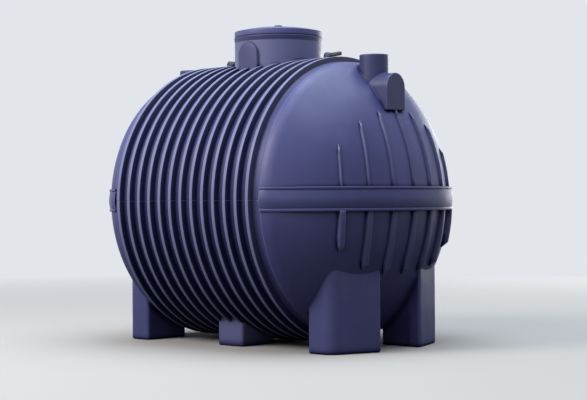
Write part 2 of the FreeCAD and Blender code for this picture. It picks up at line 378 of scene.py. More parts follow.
def moulded(piece, tank, low, high, voxel, rounds, keep):
    """Run a form into the crown with a soft hollow round: it is joined to a patch that lies just under the
    crown's surface, then remeshed and smoothed.
    """
    shape = bpy.context.scene.tank_shape
    patch = dome_solid(tank, "patch_tool", shape.sink / 2)
    hollow = dome_solid(tank, "hollow_tool", shape.wall)
    around = block("around_tool", low, high)
    trim(patch, around, "INTERSECT")
    trim(piece, patch, "UNION")
    trim(piece, hollow)
    for tool in (patch, hollow, around):
        drop(tool)
    apply_modifier(piece, "REMESH", mode="VOXEL", voxel_size=voxel)
    apply_modifier(piece, "SMOOTH", factor=0.5, iterations=rounds)
    apply_modifier(piece, "DECIMATE", ratio=keep)


def joined(name, pieces):
    """One object out of several."""
    bpy.ops.object.select_all(action="DESELECT")
    for piece in pieces:
        piece.select_set(True)
    bpy.context.view_layer.objects.active = pieces[0]
    bpy.ops.object.join()
    return take(name)


def copied(piece, name):
    pick(piece)
    bpy.ops.object.duplicate()
    return take(name)


def rotate(angle, axis, centre):
    """Turn what is selected."""
    bpy.ops.transform.rotate(value=angle, orient_axis=axis, orient_type="GLOBAL", center_override=centre)


def turned(piece, angle, centre):
    """Turn a piece about an upright axis, into its mesh."""
    pick(piece)
    rotate(angle, "Z", centre)
    return take(piece.name)


def rear_copy(piece, name):
    return turned(copied(piece, name), math.pi, ORIGIN)


def side_copy(piece, name):
    """A copy on the tank's other side."""
    other = copied(piece, name)
    pick(other)
    bpy.ops.transform.resize(value=(1, -1, 1), orient_type="GLOBAL", center_override=ORIGIN)
    take(name)
    edit()
    bpy.ops.mesh.normals_make_consistent(inside=False)
    leave()
    return other


def rounded(corners, radii, steps=4):
    """Flat outline through corners, with each inner corner swapped for an arc; the radii come in turn."""
    points = [Vector(corners[0])]
    for number, (before, corner, after) in enumerate(zip(corners, corners[1:], corners[2:])):
        radius = radii[number % len(radii)]
        here = Vector(corner)
        back = (Vector(before) - here).normalized()
        on = (Vector(after) - here).normalized()
        half = back.angle(on) / 2
        centre = here + (back + on).normalized() * (radius / math.sin(half))
        start = here + back * (radius / math.tan(half)) - centre
        sweep = start.angle_signed(here + on * (radius / math.tan(half)) - centre)
        first = math.atan2(start.y, start.x)
        for step in range(steps + 1):
            angle = first - sweep * step / steps
            points.append(centre + radius * Vector((math.cos(angle), math.sin(angle))))
    points.append(Vector(corners[-1]))
    return points


def finish_piece(piece, body, nodes, material, crease=CREASE):
    """Shade a piece, give it its material and say what it rides and replaces."""
    pick(piece)
    bpy.ops.object.shade_smooth_by_angle(angle=math.radians(crease))
    piece.data.materials.clear()
    piece.data.materials.append(material)
    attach(piece, body)
    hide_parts(*nodes)


def finish_tank(material, *pieces):
    """Finish pieces of the tank that each take the place of the node they are named after."""
    for piece in pieces:
        finish_piece(piece, "tank", [piece.name.replace("_form", "")], material)


def finish_both_ends(front, nodes, material, crease=CREASE):
    """Copy a piece of the front end to the rear end, and finish the two."""
    rear = rear_copy(front, front.name.replace("front", "rear"))
    for piece, end in ((front, "front_"), (rear, "rear_")):
        finish_piece(piece, "tank", [end + node for node in nodes], material, crease)


class Tank:
    """Places read from the frame, in metres."""

    def __init__(self):
        shape = bpy.context.scene.tank_shape
        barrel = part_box("barrel_upper")[1]
        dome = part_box("front_dome")[1]
        band_low, band_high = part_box("front_band")
        self.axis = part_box("barrel_lower")[1].z
        self.half = barrel.x
        self.crest = barrel.y
        self.radius = dome.y
        self.tip = dome.x
        self.band_tip = band_high.x
        self.band_above = band_high.z - self.axis
        self.band_below = self.axis - band_low.z
        self.knuckle = shape.knuckle
        self.middle = Vector((0, 0, self.axis))
        self.top = Vector((0, 0, self.axis + self.radius))
        self.crown_radius, self.crown_x = self.crown_of(self.tip, self.radius)
        self.band_lip = self.radius + shape.band_rise
        self.band_x = self.crown_of(self.band_tip, self.band_lip)[1]

    def crown_of(self, tip, lip):
        """Radius and centre of the crown that runs from a tip into a knuckle at the shoulder."""
        depth = tip - self.half
        reach = lip - self.knuckle
        radius = (depth**2 + reach**2 - self.knuckle**2) / (2 * (depth - self.knuckle))
        return radius, tip - radius

    def dome_x(self, y, z):
        """Where the crown is, out along X, at a distance across and a height from the axis."""
        return self.crown_x + math.sqrt(self.crown_radius**2 - y**2 - z**2)

    def dish(self, inset, crown_steps, knuckle_steps):
        """Outline of the dished end from its tip to the shoulder, along X and away from the axis."""
        reach = self.radius - self.knuckle
        turn = math.atan2(reach, self.half - self.crown_x)
        points = []
        for step in range(crown_steps + 1):
            angle = turn * step / crown_steps
            radius = self.crown_radius - inset
            points.append((self.crown_x + radius * math.cos(angle), radius * math.sin(angle)))
        for step in range(1, knuckle_steps + 1):
            angle = turn + (math.pi / 2 - turn) * step / knuckle_steps
            radius = self.knuckle - inset
            points.append((self.half + radius * math.cos(angle), reach + radius * math.sin(angle)))
        return points

    def outward(self, x, radius):
        """A place on the tank's right side, at the height of its axis."""
        return Vector((x, radius, self.axis))


def dome_solid(tank, name, inset):
    """Everything inside the front end's surface, set in from it, and a little of the barrel's inside."""
    overlap = 0.05
    back = tank.half - overlap
    points = [tank.outward(x, radius) for x, radius in tank.dish(inset, 28, 8)]
    points.append(tank.outward(back, tank.radius - inset))
    points.append(tank.outward(back, 0))
    return spun(name, points, ROUND_STEPS, tank.middle, ALONG)


class TANK_OT_barrel(bpy.types.Operator):
    """Two hooped halves that meet at the parting line"""

    bl_idname = "tank.barrel"
    bl_label = "Barrel"

    def execute(self, context):
        tank = Tank()
        shape = context.scene.tank_shape
        section = self.section(tank, shape)
        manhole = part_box("neck")[1].x - shape.sink / 2
        for name, side in (("barrel_upper", 1), ("barrel_lower", -1)):
            piece = chain(name + "_form", section)
            bpy.ops.mesh.spin(
                steps=ROUND_STEPS, angle=-side * math.pi, center=tank.middle, axis=ALONG
            )
            self.groove(piece, tank, shape, side)
            close_up()
            if side > 0:
                column = bar("manhole_tool", manhole, tank.radius, tank.top, ROUND_STEPS)
                trim(piece, column)
                drop(column)
            finish_tank(hoop_plastic(), piece)
        return {"FINISHED"}

    def section(self, tank, shape):
        """Closed section of the wall with its hoops."""
        corners = [(-tank.half, tank.radius)]
        for number in range(shape.hoop_count):
            middle = (number - (shape.hoop_count - 1) / 2) * shape.hoop_pitch
            corners.append((middle - shape.hoop_base / 2, tank.radius))
            corners.append((middle - shape.hoop_crest / 2, tank.crest))
            corners.append((middle + shape.hoop_crest / 2, tank.crest))
            corners.append((middle + shape.hoop_base / 2, tank.radius))
        corners.append((tank.half, tank.radius))
        radii = (shape.hoop_fillet, shape.hoop_round, shape.hoop_round, shape.hoop_fillet)
        points = [tank.outward(x, radius) for x, radius in rounded(corners, radii)]
        points.append(tank.outward(tank.half, tank.radius - shape.wall))
        points.append(tank.outward(-tank.half, tank.radius - shape.wall))
        points.append(points[0])
        return points

    def groove(self, piece, tank, shape, side):
        """Press the outer edge of a half in a little along the parting line."""
        for share in (2, 1):
            bpy.ops.mesh.select_all(action="SELECT")
            line = tank.middle + UP * side * shape.parting_reach * share
            bpy.ops.mesh.bisect(plane_co=line, plane_no=UP)
        for hand in (1, -1):
            bpy.ops.mesh.select_all(action="DESELECT")
            leave()
            for vertex in piece.data.vertices:
                place = vertex.co
                level = abs(place.z - tank.axis) < shape.parting_reach / 2
                vertex.select = level and place.y * hand > tank.radius - shape.wall / 2
            bpy.ops.object.mode_set(mode="EDIT")
            bpy.ops.transform.translate(value=(0, -hand * shape.parting_depth, 0))


class TANK_OT_domes(bpy.types.Operator):
    """Dished ends"""

    bl_idname = "tank.domes"
    bl_label = "Dished ends"

    def execute(self, context):
        tank = Tank()
        wall = context.scene.tank_shape.wall
        points = [tank.outward(x, radius) for x, radius in tank.dish(0, 40, 14)]
        points += [tank.outward(x, radius) for x, radius in reversed(tank.dish(wall, 24, 6))]
        front = spun("front_dome_form", points, 144, tank.middle, ALONG)
        finish_both_ends(front, ["dome"], dome_plastic())
        return {"FINISHED"}


class TANK_OT_bands(bpy.types.Operator):
    """Band round the middle of each end, drafted both ways from the parting line"""

    bl_idname = "tank.bands"
    bl_label = "Bands"

    def execute(self, context):
        tank = Tank()
        shape = context.scene.tank_shape
        piece = chain("front_band_form", self.section(tank))
        reach = tank.band_lip - tank.knuckle
        turn = math.atan2(reach, tank.half - tank.band_x)
        crown = (tank.band_x, 0, tank.axis)
        knuckle = (tank.half, reach, tank.axis)
        bpy.ops.mesh.spin(steps=36, angle=-turn, center=crown, axis=UP)
        bpy.ops.mesh.spin(steps=12, angle=turn - math.pi / 2, center=knuckle, axis=UP)
        leave()
        apply_modifier(piece, "MIRROR", use_axis=(False, True, False), merge_threshold=TOUCH)
        edit()
        close_up()
        core = dome_solid(tank, "band_core", shape.sink)
        trim(piece, core)
        drop(core)
        clean(piece)
        finish_both_ends(piece, ["band"], tank_plastic())
        return {"FINISHED"}

    def section(self, tank):
        """Closed section at the tip: a soft ridge in the middle, a groove and a bead along each edge."""
        root_depth = 0.06
        root = tank.tip - tank.band_tip - root_depth
        edge = [(root, 0.0), (-0.006, 0.0), (-0.005, 0.012), (-0.011, 0.017), (-0.008, 0.023)]
        edge_radius = 0.0025
        ridge_radius = 0.12
        above = [(out, tank.band_above - inset) for out, inset in edge]
        below = [(out, inset - tank.band_below) for out, inset in reversed(edge)]
        edge_radii = [edge_radius] * (len(edge) - 1)
        outline = rounded(above + [(0, 0)] + below, edge_radii + [ridge_radius] + edge_radii, 3)
        points = upright([(tank.band_tip + out, tank.axis + height) for out, height in outline])
        return points + [points[0]]


class TANK_OT_ribs(bpy.types.Operator):
    """Upright ribs over and under the bands"""

    bl_idname = "tank.ribs"
    bl_label = "Ribs"

    def execute(self, context):
        tank = Tank()
        ribs = context.scene.tank_ribs
        shape = context.scene.tank_shape
        core = dome_solid(tank, "rib_core", shape.sink)
        upper_crest = tank.crown_radius + ribs.upper_proud
        lower_x = tank.crown_x - ribs.lower_spread
        lower_crest = tank.crown_radius + ribs.lower_spread + ribs.lower_proud
        box_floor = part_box("front_pipe_box")[0].z - tank.axis
        band_top = tank.band_above - shape.sink
        band_bottom = shape.sink - tank.band_below
        upper_share = 0.35
        lower_share = 0.7
        draft = 1.15
        upper_root = 0.008
        upper_depth = ribs.upper_proud + upper_root
        lower_depth = ribs.lower_proud + ribs.lower_spread * 0.3
        upper_section = (ribs.upper_width, upper_share, upper_depth)
        lower_section = (ribs.lower_width * draft, lower_share, lower_depth)
        upper_ends = self.ends(ribs.turn, ribs.upper_reach_turn, ribs.upper_reach, ribs.upper_roundness)
        upper_ends[0] = (0.0, box_floor + ribs.slope)
        lower_ends = self.ends(ribs.turn, ribs.lower_reach_turn, -ribs.lower_reach, ribs.lower_roundness)
        upper = self.fan(tank, ribs, upper_ends, upper_section, band_top, tank.crown_x, upper_crest)
        lower = self.fan(tank, ribs, lower_ends, lower_section, band_bottom, lower_x, lower_crest)
        for name, pieces in (("upper_ribs", upper), ("lower_ribs", lower)):
            front = joined("front_" + name + "_form", pieces)
            trim(front, core)
            clean(front)
            finish_both_ends(front, [name], tank_plastic(), SHARP)
        drop(core)
        return {"FINISHED"}

    def ends(self, pitch, reach_turn, reach, roundness):
        """Each rib's turn, and the height of its far end from the axis."""
        found = []
        turn = 0.0
        while turn < reach_turn:
            share = 1 - (turn / reach_turn) ** roundness
            found.append((turn, reach * share ** (1 / roundness)))
            turn += pitch
        return found

    def fan(self, tank, ribs, ends, section, start, crest_x, crest_radius):
        """Ribs turned to both hands about the upright line through the crown's centre."""
        pieces = []
        for turn, end in ends:
            for hand in (1, -1) if turn else (1,):
                one = self.rib(tank, ribs, section, start, end, crest_x, crest_radius, turn)
                pieces.append(turned(one, hand * turn, (tank.crown_x, 0, 0)))
        return pieces

    def rib(self, tank, ribs, section, low, high, crest_x, crest_radius, turn):
        """One rib in the upright plane of the tank's axis, whose far end slopes down to the crown.

        The section gives its width, the share of that width at the crest, and its depth.
        """
        width, crest_share, depth = section
        side = math.copysign(1, high)
        offset = crest_x - tank.crown_x
        middle = Vector((tank.crown_x + offset * math.cos(turn), 0, tank.axis))
        radius = math.sqrt(crest_radius**2 - (offset * math.sin(turn)) ** 2)
        start = math.asin(low / radius)
        end = math.asin(high / radius)
        corners = [
            (-width / 2, -depth),
            (-width * crest_share / 2, 0),
            (width * crest_share / 2, 0),
            (width / 2, -depth),
        ]
        points = [Vector((middle.x + radius + out, across, tank.axis)) for across, out in corners]
        piece = chain("rib_form", points + [points[0]])
        rotate(start, "Y", middle)
        bpy.ops.mesh.spin(steps=20, angle=end - start, center=middle, axis=ACROSS)
        close_up()
        widest_edge = 0.006
        soften(piece, min(widest_edge, width * crest_share * 0.4), 3, CREASE)
        crest_height = high - side * ribs.slope
        crest_out = radius * math.cos(math.asin(crest_height / radius))
        crest = Vector((middle.x + crest_out, 0, tank.axis + crest_height))
        far = Vector((tank.dome_x(0, high), 0, tank.axis + high))
        slope_normal = ACROSS.cross(far - crest) * side
        slice_off(far, slope_normal)
        for hand in (1, -1):
            self.taper(far, (far - crest).normalized(), width, hand)
        return piece

    def taper(self, far, onward, width, hand):
        """Cut one side of a rib away towards its far end."""
        length = 0.06
        loss = 0.35
        left_over = 0.04
        narrowing = math.atan(width * loss / length)
        normal = ACROSS * hand * math.cos(narrowing) + onward * math.sin(narrowing)
        slice_off(far + ACROSS * hand * width * left_over, normal)


class TANK_OT_fittings(bpy.types.Operator):
    """Blank vent stub and arched pipe box on each end"""

    bl_idname = "tank.fittings"
    bl_label = "Pipe fittings"

    def execute(self, context):
        tank = Tank()
        stub_low, stub_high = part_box("front_vent_stub")
        box_low, box_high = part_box("front_pipe_box")
        radius = (stub_high.y - stub_low.y) / 2
        stub_x = stub_high.x - radius
        middle = (stub_x, 0, (stub_high.z + box_low.z) / 2)
        stub = bar("front_vent_stub_form", radius, stub_high.z - box_low.z, middle, ROUND_STEPS)
        half = box_high.y
        spring = box_high.z - half
        outline = arch(half, box_low.z, spring, 32, lambda across, height: Vector((stub_x, across, height)))
        box = prism("box_tool", outline, ALONG * (box_high.x - stub_x))
        trim(stub, box, "UNION")
        drop(box)
        margin = 0.04
        around = Vector((1, 1, 1)) * margin
        far = Vector((box_high.x, stub_high.y, stub_high.z)) + around
        moulded(stub, tank, stub_low - around, far, voxel=0.004, rounds=3, keep=0.45)
        finish_both_ends(stub, ["vent_stub", "pipe_box"], neck_plastic_painted_shade())
        return {"FINISHED"}


class TANK_OT_feet(bpy.types.Operator):
    """Six moulded feet"""

    bl_idname = "tank.feet"
    bl_label = "Feet"

    def execute(self, context):
        tank = Tank()
        ribs = context.scene.tank_ribs
        shape = context.scene.tank_shape
        foot = self.end_foot(tank, ribs)
        low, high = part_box("front_right_foot")
        around = Vector((1, 1, 1)) * ribs.foot_edge * 2
        moulded(foot, tank, low - around, high + around, voxel=0.005, rounds=8, keep=0.4)
        left = side_copy(foot, "front_left_foot_form")
        rear_left = rear_copy(foot, "rear_left_foot_form")
        rear_right = rear_copy(left, "rear_right_foot_form")
        middle = self.middle_foot(tank, ribs, shape)
        middle_left = side_copy(middle, "middle_left_foot_form")
        finish_tank(tank_plastic(), foot, left, rear_left, rear_right, middle, middle_left)
        return {"FINISHED"}

    def end_foot(self, tank, ribs):
        """Front foot on the right, whose flat front joins two places on the crown's outline."""
        back = tank.half + ribs.foot_setback
        panel_end = ribs.foot_outer - ribs.foot_corner
        inner_x = tank.dome_x(ribs.foot_inner, ribs.foot_drop)
        lean = (tank.dome_x(panel_end, ribs.foot_drop) - inner_x) / (panel_end - ribs.foot_inner)
        outer_x = inner_x + lean * (ribs.foot_outer - ribs.foot_inner)
        corners = [
            (inner_x, ribs.foot_inner),
            (outer_x, ribs.foot_outer),
            (back, ribs.foot_outer),
            (back, ribs.foot_inner),
        ]
        points = [Vector((x, y, 0)) for x, y in corners]
        piece = prism("front_right_foot_form", points, UP * (tank.axis - ribs.foot_drop + ribs.foot_corner))

        def upright_at(place):
            return lambda one, two: max((one.xy - place.xy).length, (two.xy - place.xy).length) < TOUCH

        bevel_edges(piece, upright_at(points[1]), ribs.foot_corner, 8)
        bevel_edges(piece, upright_at(points[0]), ribs.foot_edge, 5)
        bevel_edges(piece, upright_at(points[2]), ribs.foot_edge, 5)
        bevel_edges(piece, on_ground, FOOT_SOLE, 3)
        return piece

    def middle_foot(self, tank, ribs, shape):
        """Block whose top is cut to the barrel."""
        low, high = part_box("middle_right_foot")
        top = 0.4
        piece = block("middle_right_foot_form", low, Vector((high.x, high.y, top)))
        bevel_edges(piece, lambda one, two: abs(one.z - two.z) > top / 2, ribs.foot_edge, 5)
        bevel_edges(piece, on_ground, FOOT_SOLE, 3)
        core = bar("barrel_core", tank.radius - shape.sink, 1.0, tank.middle, 144, lying=True)
        trim(piece, core)
        drop(core)
        return piece


class TANK_OT_neck(bpy.types.Operator):
    """Manhole neck with its rim and its two flat pads"""

    bl_idname = "tank.neck"
    bl_label = "Manhole neck"

    def execute(self, context):
        tank = Tank()
        shape = context.scene.tank_shape
        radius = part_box("neck")[1].x
        bore = radius - shape.wall
        rim_low, rim_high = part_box("neck_rim")
        root_depth = 0.08
        rim_overlap = 0.01
        low = tank.axis + tank.radius - root_depth
        top = rim_low.z + rim_overlap
        corners = [(bore, low), (bore, top), (radius, top), (radius, low), (bore, low)]
        neck = spun("neck_form", upright(corners), 128, ORIGIN, UP)
        core = bar("barrel_inside", tank.radius - shape.wall, 2.0, tank.middle, 192, lying=True)
        trim(neck, core)
        drop(core)
        lip_inset = 0.003
        lip_height = 0.006
        lip = rim_high.x - lip_inset
        edge_radius = 0.003
        start = (bore, (rim_low.z + rim_high.z) / 2)
        rim_corners = [
            start,
            (bore, rim_low.z),
            (radius, rim_low.z),
            (lip, rim_high.z - lip_height),
            (lip, rim_high.z),
            (bore, rim_high.z),
            start,
        ]
        rim = spun("neck_rim_form", upright(rounded(rim_corners, [edge_radius], 3)), 128, ORIGIN, UP)
        left = self.pad(tank, shape, radius)
        right = side_copy(left, "neck_right_pad_form")
        finish_tank(neck_plastic_painted_shade(), neck, rim, left, right)
        return {"FINISHED"}

    def pad(self, tank, shape, radius):
        """Flat arched face on the left, run back to the round of the neck."""
        low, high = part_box("neck_left_pad")
        half = high.x
        depth = 0.09
        edge_radius = 0.004
        base = tank.axis + math.sqrt((tank.radius - shape.sink) ** 2 - low.y**2)
        spring = high.z - half
        outline = arch(half, base, spring, 24, lambda across, height: Vector((across, low.y, height)))
        pad = prism("neck_left_pad_form", outline, ACROSS * depth)
        bevel_edges(pad, lambda one, two: max(one.y, two.y) < low.y + TOUCH, edge_radius, 3)
        column = bar("neck_core", radius - shape.sink / 2, 1.0, tank.top, 128)
        trim(pad, column)
        drop(column)
        return pad


class TANK_OT_lid(bpy.types.Operator):
    """Loose lid with its knob"""

    bl_idname = "tank.lid"
    bl_label = "Lid"

    def execute(self, context):
        low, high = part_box("lid")
        knob_low, knob_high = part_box("lid_knob")
        rim_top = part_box("neck_rim")[1].z
        radius = high.x
        gap = 0.005
        edge_height = 0.034
        seat_width = 0.011
        play = 0.005
        wall = 0.01
        rim_low = rim_top + gap
        rim_high = rim_low + edge_height
        ceiling = rim_high - wall
        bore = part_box("neck")[1].x - context.scene.tank_shape.wall
        seat = bore + seat_width
        spigot = bore - play
        inner = spigot - wall
        knob_room = 0.004
        crown = self.crown(knob_high.x + knob_room, radius, rim_high, high.z)
        edge_step = 4
        edge_radius = 0.002
        skirt = [
            (inner, ceiling),
            (inner, low.z),
            (spigot, low.z),
            (spigot, rim_top),
            (seat, rim_top),
            (seat, rim_low),
            (radius, rim_low),
            (radius, rim_high),
            crown[edge_step],
        ]
        outside = rounded(skirt, [edge_radius], 3)[:-1] + crown[edge_step:]
        lid = spun("lid_form", upright([(0, ceiling)] + outside + [(0, high.z)]), 128, ORIGIN, UP)
        finish_piece(lid, "lid", ["lid"], lid_plastic_painted_light())
        knob = spun("lid_knob_form", upright(self.knob(knob_low, knob_high)), 64, ORIGIN, UP)
        finish_piece(knob, "lid", ["lid_knob"], knob_plastic_painted_shade())
        return {"FINISHED"}

    def crown(self, flat, radius, low, high):
        """Outline of the domed top, from the lid's edge to the flat under its knob."""
        reach = radius - flat
        rise = high - low
        curve = (reach**2 + rise**2) / (2 * rise)
        turn = math.asin(reach / curve)
        points = []
        steps = 16
        for step in range(steps + 1):
            angle = turn * (1 - step / steps)
            points.append((flat + curve * math.sin(angle), high - curve * (1 - math.cos(angle))))
        return points

    def knob(self, low, high):
        """Outline of the knob, with a foot that flares a little."""
        sink = 0.002
        flare = 0.002
        flare_height = 0.004
        waist = high.x - 0.001
        crest = high.x - 0.002
        edge_radius = 0.0015
        corners = [
            (0, low.z - sink),
            (high.x + flare, low.z - sink),
            (waist, low.z + flare_height),
            (crest, high.z),
            (0, high.z),
        ]
        return rounded(corners, [edge_radius], 4)


class TANK_OT_lugs(bpy.types.Operator):
    """Lifting lugs on top of the barrel, each with a flat steel eye"""

    bl_idname = "tank.lugs"
    bl_label = "Lifting points"

    def execute(self, context):
        for end in ("front", "rear"):
            low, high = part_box(end + "_lifting_lug")
            middle = (low.x + high.x) / 2
            radius = (high.x - low.x) / 2
            outline = arch(
                radius,
                low.z,
                high.z - radius,
                24,
                lambda across, height: Vector((middle + across, low.y, height)),
            )
            lug = prism(end + "_lifting_lug_form", outline, ACROSS * (high.y - low.y))
            edge_radius = 0.006

            def on_face(one, two):
                return abs(one.y - two.y) < TOUCH and max(one.z, two.z) > low.z + TOUCH

            bevel_edges(lug, on_face, edge_radius, 3)
            finish_tank(lug_plastic_painted_shade(), lug)
            eye = self.eye(end, middle)
            finish_piece(eye, "tank", [end + "_lifting_eye"], eye_steel())
        return {"FINISHED"}

    def eye(self, end, place):
        """Flat plate with a hole, tilted up a little at its far end."""
        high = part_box(end + "_lifting_eye")[1]
        tank = Tank()
        half = high.y
        thickness = 0.02
        lift = 0.008
        slack = 0.002
        hole_radius = 0.012
        edge_radius = 0.002
        tilt = math.radians(4)
        root = Vector((place, 0, tank.axis + tank.crest + lift))
        reach = high.x - place - half - slack
        outline = arch(half, 0, reach, 16, lambda across, out: Vector((out, -across, 0)))
        plate = prism(end + "_lifting_eye_form", outline, UP * thickness)
        hole = bar("hole_tool", hole_radius, 0.1, (reach, 0, 0), 32)
        trim(plate, hole)
        drop(hole)
        soften(plate, edge_radius, 2, SHARP)
        pick(plate)
        rotate(tilt, "Y", ORIGIN)
        bpy.ops.transform.translate(value=root)
        return take(plate.name)


def plain_nodes(material):
    """Node tree and shader of a material."""
    material.use_nodes = True
    tree = material.node_tree
    return tree, tree.nodes["Principled BSDF"]


def noise(tree, scale, detail=4.0, stretch=(1, 1, 1)):
    """Noise on the piece's own coordinates."""
    mapping = tree.nodes.new("ShaderNodeMapping")
    mapping.inputs["Scale"].default_value = stretch
    node = tree.nodes.new("ShaderNodeTexNoise")
    node.inputs["Scale"].default_value = scale
    node.inputs["Detail"].default_value = detail
    node.inputs["Roughness"].default_value = 0.55
    tree.links.new(coordinates(tree, "Object"), mapping.inputs["Vector"])
    tree.links.new(mapping.outputs["Vector"], node.inputs["Vector"])
    return node.outputs["Fac"]


def span(tree, source, low, high, out_low, out_high):
    """Map a value from one range to another."""
    node = tree.nodes.new("ShaderNodeMapRange")
    node.inputs["From Min"].default_value = low
    node.inputs["From Max"].default_value = high
    node.inputs["To Min"].default_value = out_low
    node.inputs["To Max"].default_value = out_high
    tree.links.new(source, node.inputs["Value"])
    return node.outputs["Result"]


def mixed(tree, share, first, second):
    """Blend of two colours, each a fixed colour or an output."""
    node = tree.nodes.new("ShaderNodeMix")
    node.data_type = "RGBA"
    for socket, value in ((node.inputs[6], first), (node.inputs[7], second)):
        if isinstance(value, bpy.types.NodeSocket):
            tree.links.new(value, socket)
        else:
            socket.default_value = (*value, 1)
    tree.links.new(share, node.inputs[0])
    return node.outputs[2]


def bumped(tree, height, strength, distance):
    """Node that pushes the surface's normal about by a height."""
    node = tree.nodes.new("ShaderNodeBump")
    node.inputs["Strength"].default_value = strength
    node.inputs["Distance"].default_value = distance
    tree.links.new(height, node.inputs["Height"])
    return node


def plastic(name, lift, shade_reach=0.06, hoops=False):
    """Satin moulded plastic, faded in patches, paler along its edges from rubbed wear and painted
    highlight, with painted shade in its corners.
    """
    if name in bpy.data.materials:
        return bpy.data.materials[name]
    finish = bpy.context.scene.tank_finish
    material = bpy.data.materials.new(name)
    tree, shader = plain_nodes(material)
    # A lift above 1 makes a lighter copy of the same plastic (painted light), one below 1 a darker copy
    # (painted shade).
    base = [channel * lift for channel in finish.plastic]
    faded = [channel * lift for channel in finish.faded]
    patches = span(tree, noise(tree, 2.2), 0.4, 0.7, 0, 0.8)
    streaks = span(tree, noise(tree, 9.0, stretch=(1, 1, 0.12)), 0.5, 0.75, 0, 0.6)
    colour = mixed(tree, patches, base, faded)
    colour = mixed(tree, streaks, colour, faded)
    if hoops:
        tank = Tank()
        # Hoop crests are painted pale towards their tops: painted highlight.
        rise = tank.crest - tank.radius
        crest_foot = tank.crest - rise * 0.2
        crest_top = tank.crest - rise * 0.02
        crests = span(tree, from_axis(tree, tank), crest_foot, crest_top, 0, 0.72)
        # Faces turned to either end of the tank are painted near black: painted shade on the hoops' flanks.
        flank_shade = span(tree, flank(tree), 0.45, 0.9, 0, 0.95)
        parting_line = span(tree, off_axis(tree, tank), 0.001, 0.0025, 0.4, 0)
        colour = mixed(tree, crests, colour, finish.worn)
        colour = mixed(tree, flank_shade, colour, finish.painted_shade)
        colour = mixed(tree, parting_line, colour, finish.worn)
    else:
        # Sharp convex edges are painted pale: partly rubbed wear, partly painted highlight.
        pointiness = tree.nodes.new("ShaderNodeNewGeometry").outputs["Pointiness"]
        edges = span(tree, pointiness, 0.51, 0.58, 0, 0.45)
        colour = mixed(tree, edges, colour, finish.worn)
    # Painted shade: corners and creases that the ambient occlusion finds are darkened towards the painted
    # shade colour, and reflect less.
    corner = tree.nodes.new("ShaderNodeAmbientOcclusion")
    corner.samples = 8
    corner.inputs["Distance"].default_value = shade_reach
    crease_shade = span(tree, corner.outputs["AO"], 0.5, 0.9, 0.9, 0)
    shine = span(tree, corner.outputs["AO"], 0.5, 0.9, 0.08, 0.4)
    satin = span(tree, noise(tree, 7.0), 0.3, 0.7, 0.35, 0.48)
    tree.links.new(mixed(tree, crease_shade, colour, finish.painted_shade), shader.inputs["Base Color"])
    tree.links.new(satin, shader.inputs["Roughness"])
    tree.links.new(shine, shader.inputs["Specular IOR Level"])
    grain = bumped(tree, noise(tree, 160.0, 2.0), strength=0.08, distance=0.002)
    wave = bumped(tree, noise(tree, 4.0, 1.0), strength=0.25, distance=0.02)
    tree.links.new(wave.outputs["Normal"], grain.inputs["Normal"])
    tree.links.new(grain.outputs["Normal"], shader.inputs["Normal"])
    return material


def coordinates(tree, kind):
    return tree.nodes.new("ShaderNodeTexCoord").outputs[kind]


def part_of(tree, source, letter):
    """One of the three parts of a place or a direction."""
    node = tree.nodes.new("ShaderNodeSeparateXYZ")
    tree.links.new(source, node.inputs["Vector"])
    return node.outputs[letter]


def reckoned(tree, kind, operation, source, value=None, result="Value"):
    """Output of a maths node of either kind, whose second number is fixed."""
    node = tree.nodes.new(kind)
    node.operation = operation
    tree.links.new(source, node.inputs[0])
    if value is not None:
        node.inputs[1].default_value = value
    return node.outputs[result]


def flank(tree):
    """How far a face is turned to either end of the tank."""
    return reckoned(tree, "ShaderNodeMath", "ABSOLUTE", part_of(tree, coordinates(tree, "Normal"), "X"))


def off_axis(tree, tank):
    """How far a place is over or under the tank's axis."""
    height = part_of(tree, coordinates(tree, "Object"), "Z")
    offset = reckoned(tree, "ShaderNodeMath", "SUBTRACT", height, tank.axis)
    return reckoned(tree, "ShaderNodeMath", "ABSOLUTE", offset)


def from_axis(tree, tank):
    """How far a place is from the tank's axis."""
    place = coordinates(tree, "Object")
    place = reckoned(tree, "ShaderNodeVectorMath", "SUBTRACT", place, tank.middle, "Vector")
    place = reckoned(tree, "ShaderNodeVectorMath", "MULTIPLY", place, ACROSS + UP, "Vector")
    return reckoned(tree, "ShaderNodeVectorMath", "LENGTH", place)


def tank_plastic():
    return plastic("tank_plastic_look", 1.0)


def dome_plastic():
    return plastic("dome_plastic_look", 1.0, shade_reach=0.03)


def hoop_plastic():
    return plastic("hoop_plastic_look", 1.0, hoops=True)


# Lighter copy of the plastic for the lid: painted light.
def lid_plastic_painted_light():
    return plastic("lid_plastic_painted_light_look", 1.15, shade_reach=0.03)


# Darker copy of the plastic for the neck, its rim and pads, the vent stub and pipe box: painted shade.
def neck_plastic_painted_shade():
    return plastic("neck_plastic_painted_shade_look", 0.65, shade_reach=0.03)


# Darker copy of the plastic for the lifting lugs: painted shade.
def lug_plastic_painted_shade():
    return plastic("lug_plastic_painted_shade_look", 0.5)


# Darker copy of the plastic for the lid's knob: painted shade.
def knob_plastic_painted_shade():
    return plastic("knob_plastic_painted_shade_look", 0.4)


def eye_steel():
    """Dull galvanised steel."""
    name = "eye_steel_look"
    if name in bpy.data.materials:
        return bpy.data.materials[name]
    material = bpy.data.materials.new(name)
    tree, shader = plain_nodes(material)
    steel = bpy.context.scene.tank_finish.steel
    dull = [channel * 0.55 for channel in steel]
    blotches = span(tree, noise(tree, 60.0), 0.35, 0.65, 0, 1)
    tree.links.new(mixed(tree, blotches, dull, steel), shader.inputs["Base Color"])
    shader.inputs["Metallic"].default_value = 0.8
    shader.inputs["Roughness"].default_value = 0.55
    return material


